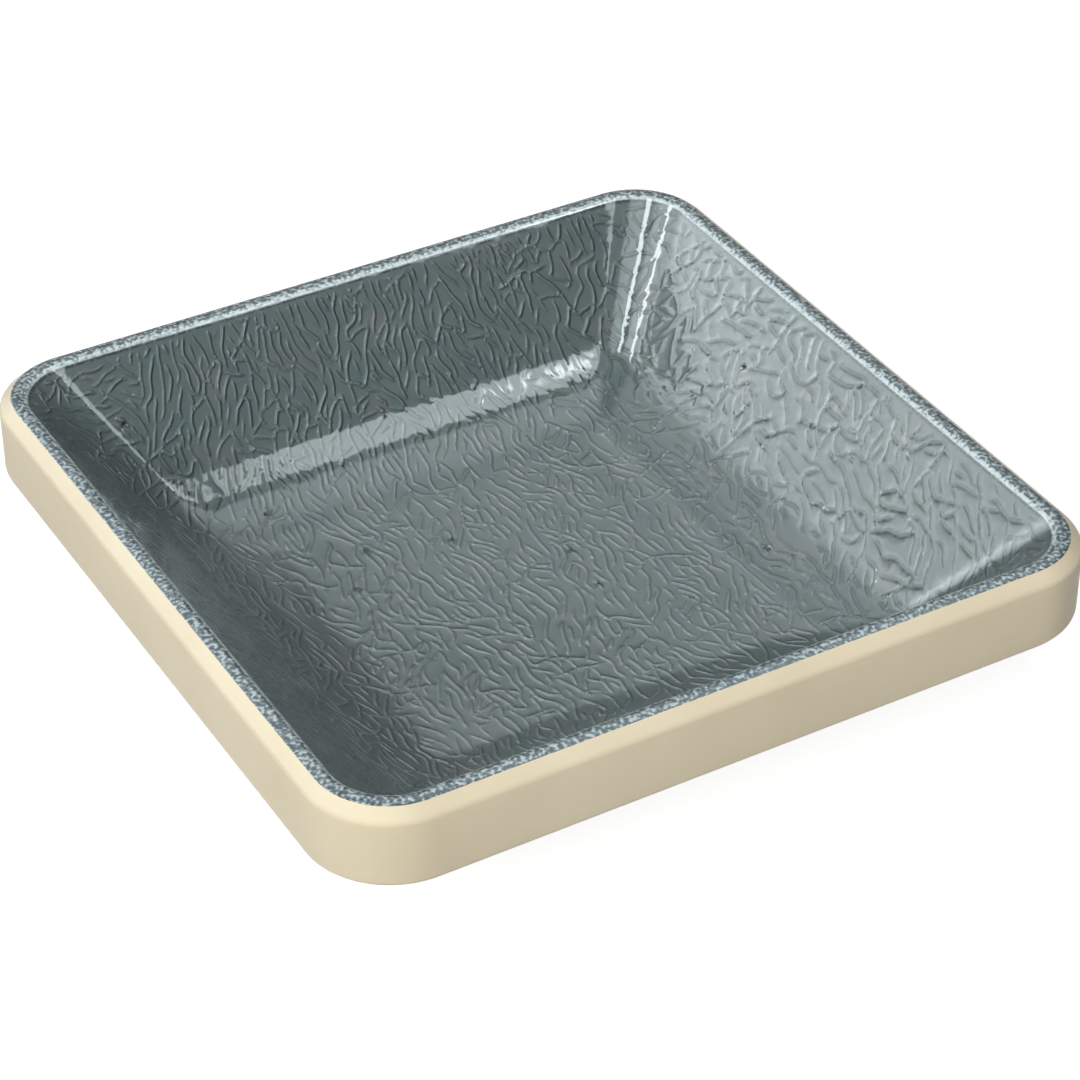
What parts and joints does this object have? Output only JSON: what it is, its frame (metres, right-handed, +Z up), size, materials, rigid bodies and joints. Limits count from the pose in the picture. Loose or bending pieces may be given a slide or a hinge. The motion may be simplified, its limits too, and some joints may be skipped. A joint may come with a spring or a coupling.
{
  "type": "square bowl",
  "caption": "Square stoneware bowl with rounded corners, an upright cream band round a sloping crackle-glazed well, a stepped underside and a bare foot ring, for serving food.",
  "frame": {"origin": "centre of the foot ring's underside, on the surface that the bowl stands on", "axes": "+Z up through the middle of the well, X and Y square to the flat sides"},
  "size_m": [0.15, 0.15, 0.0381],
  "materials": {
    "clay": "bare fired buff stoneware",
    "crackle_glaze": "glossy grey-blue crackle glaze",
    "cream_coat": "smooth matte cream coat"
  },
  "bodies": {
    "root": {"stoneware_body": "clay", "crackle_glaze_lining": "crackle_glaze", "outer_matte_coat": "cream_coat", "base_matte_coat": "cream_coat"}
  },
  "joints": []
}
